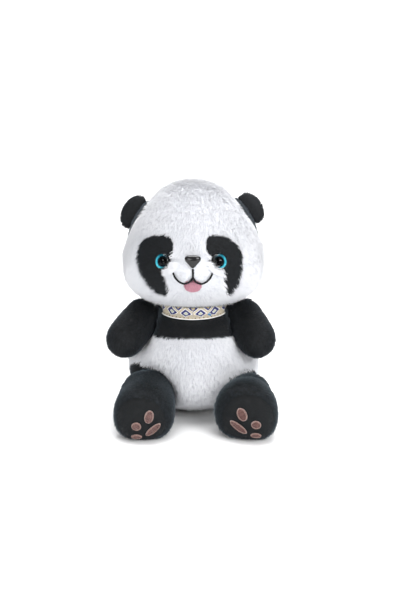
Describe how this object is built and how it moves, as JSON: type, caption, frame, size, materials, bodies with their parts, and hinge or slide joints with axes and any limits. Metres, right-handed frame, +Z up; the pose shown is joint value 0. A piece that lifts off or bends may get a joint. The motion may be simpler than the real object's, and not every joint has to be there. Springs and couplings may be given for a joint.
{
  "type": "plush panda",
  "caption": "Seated plush panda: sewn pile panels over fibre stuffing, safety eyes and nose, kerchief, sprung soft limbs, head and ears",
  "frame": {"origin": "centre of the flat seat panel, on the surface that the panda sits on", "axes": "+Z up, the panda faces -Y, its left is +X"},
  "size_m": [0.1626, 0.1621, 0.2303],
  "materials": {
    "black_pile": "black pile with a slight sheen",
    "black_thread": "thread",
    "clear_lens": "clear moulded plastic",
    "eye_print": "printed back plate",
    "fibre": "loose polyester fibre",
    "label_tape": "satin tape",
    "lining": "plain woven lining",
    "nose_plastic": "polished",
    "pink_pile": "short pink pile",
    "printed_cotton": "printed cotton",
    "satin_thread": "satin stitch",
    "short_white_pile": "short white pile",
    "sole_pile": "short black pile",
    "washer_plastic": "moulded",
    "white_pile": "long soft white pile"
  },
  "bodies": {
    "torso": {"chest_panel": "black_pile", "belly_panel": "white_pile", "back_upper_panel": "black_pile", "back_lower_panel": "white_pile", "seat_panel": "white_pile", "body_stuffing": "fibre", "pellet_bag": "lining", "tail": "white_pile", "kerchief": "printed_cotton", "care_label": "label_tape"},
    "neck": {"neck_stuffing": "fibre"},
    "head": {"forehead_gusset": "white_pile", "cheek_panel_left": "white_pile", "cheek_panel_right": "white_pile", "muzzle_panel": "short_white_pile", "head_back_left": "white_pile", "head_back_right": "white_pile", "head_stuffing": "fibre", "eye_patch_left": "black_pile", "eye_patch_right": "black_pile", "eye_lens_left": "clear_lens", "eye_lens_right": "clear_lens", "eye_stem_left": "eye_print", "eye_stem_right": "eye_print", "eye_washer_left": "washer_plastic", "eye_washer_right": "washer_plastic", "nose": "nose_plastic", "nose_washer": "washer_plastic", "mouth_stitching": "black_thread", "tongue": "pink_pile"},
    "ear_left": {"ear_front_left": "black_pile", "ear_back_left": "black_pile"},
    "ear_right": {"ear_front_right": "black_pile", "ear_back_right": "black_pile"},
    "shoulder_left": {"shoulder_wad_left": "fibre"},
    "arm_left": {"arm_outer_left": "black_pile", "arm_inner_left": "black_pile", "arm_stuffing_left": "fibre"},
    "shoulder_right": {"shoulder_wad_right": "fibre"},
    "arm_right": {"arm_outer_right": "black_pile", "arm_inner_right": "black_pile", "arm_stuffing_right": "fibre"},
    "hip_left": {"hip_wad_left": "fibre"},
    "leg_left": {"leg_upper_left": "black_pile", "leg_under_left": "black_pile", "sole_panel_left": "sole_pile", "paw_pads_left": "satin_thread", "leg_stuffing_left": "fibre"},
    "hip_right": {"hip_wad_right": "fibre"},
    "leg_right": {"leg_upper_right": "black_pile", "leg_under_right": "black_pile", "sole_panel_right": "sole_pile", "paw_pads_right": "satin_thread", "leg_stuffing_right": "fibre"}
  },
  "joints": [
    {"name": "head_turn", "type": "hinge", "parent": "torso", "child": "neck", "pos_m": [0, 0, 0.108], "axis": [0, 0, 1], "range_deg": [-18, 18], "stiffness_Nm_per_rad": 0.35},
    {"name": "head_nod", "type": "hinge", "parent": "neck", "child": "head", "pos_m": [0, 0, 0.109], "axis": [1, 0, 0], "range_deg": [-4, 3], "stiffness_Nm_per_rad": 1.5},
    {"name": "arm_raise_left", "type": "hinge", "parent": "torso", "child": "shoulder_left", "pos_m": [0.0495, -0.004, 0.098], "axis": [0, -1, 0], "range_deg": [0, 20], "stiffness_Nm_per_rad": 0.12},
    {"name": "arm_swing_left", "type": "hinge", "parent": "shoulder_left", "child": "arm_left", "pos_m": [0.0495, -0.004, 0.098], "axis": [-1, 0, 0], "range_deg": [0, 18], "stiffness_Nm_per_rad": 0.12},
    {"name": "leg_spread_left", "type": "hinge", "parent": "torso", "child": "hip_left", "pos_m": [0.053, -0.043, 0.0285], "axis": [0, 0, 1], "range_deg": [0, 20], "stiffness_Nm_per_rad": 0.3},
    {"name": "leg_lift_left", "type": "hinge", "parent": "hip_left", "child": "leg_left", "pos_m": [0.053, -0.043, 0.0285], "axis": [-1, 0, 0], "range_deg": [0, 12], "stiffness_Nm_per_rad": 0.4},
    {"name": "ear_fold_left", "type": "hinge", "parent": "head", "child": "ear_left", "pos_m": [0.05519, 0.00597, 0.20182], "axis": [0.5849, 0, -0.8111], "range_deg": [-20, 20], "stiffness_Nm_per_rad": 0.01},
    {"name": "arm_raise_right", "type": "hinge", "parent": "torso", "child": "shoulder_right", "pos_m": [-0.0495, -0.004, 0.098], "axis": [0, 1, 0], "range_deg": [0, 20], "stiffness_Nm_per_rad": 0.12},
    {"name": "arm_swing_right", "type": "hinge", "parent": "shoulder_right", "child": "arm_right", "pos_m": [-0.0495, -0.004, 0.098], "axis": [-1, 0, 0], "range_deg": [0, 18], "stiffness_Nm_per_rad": 0.12},
    {"name": "leg_spread_right", "type": "hinge", "parent": "torso", "child": "hip_right", "pos_m": [-0.041, -0.043, 0.0285], "axis": [0, 0, -1], "range_deg": [0, 20], "stiffness_Nm_per_rad": 0.3},
    {"name": "leg_lift_right", "type": "hinge", "parent": "hip_right", "child": "leg_right", "pos_m": [-0.041, -0.043, 0.0285], "axis": [-1, 0, 0], "range_deg": [0, 12], "stiffness_Nm_per_rad": 0.4},
    {"name": "ear_fold_right", "type": "hinge", "parent": "head", "child": "ear_right", "pos_m": [-0.05747, 0.00621, 0.19839], "axis": [0.5452, 0, 0.8383], "range_deg": [-20, 20], "stiffness_Nm_per_rad": 0.01}
  ]
}
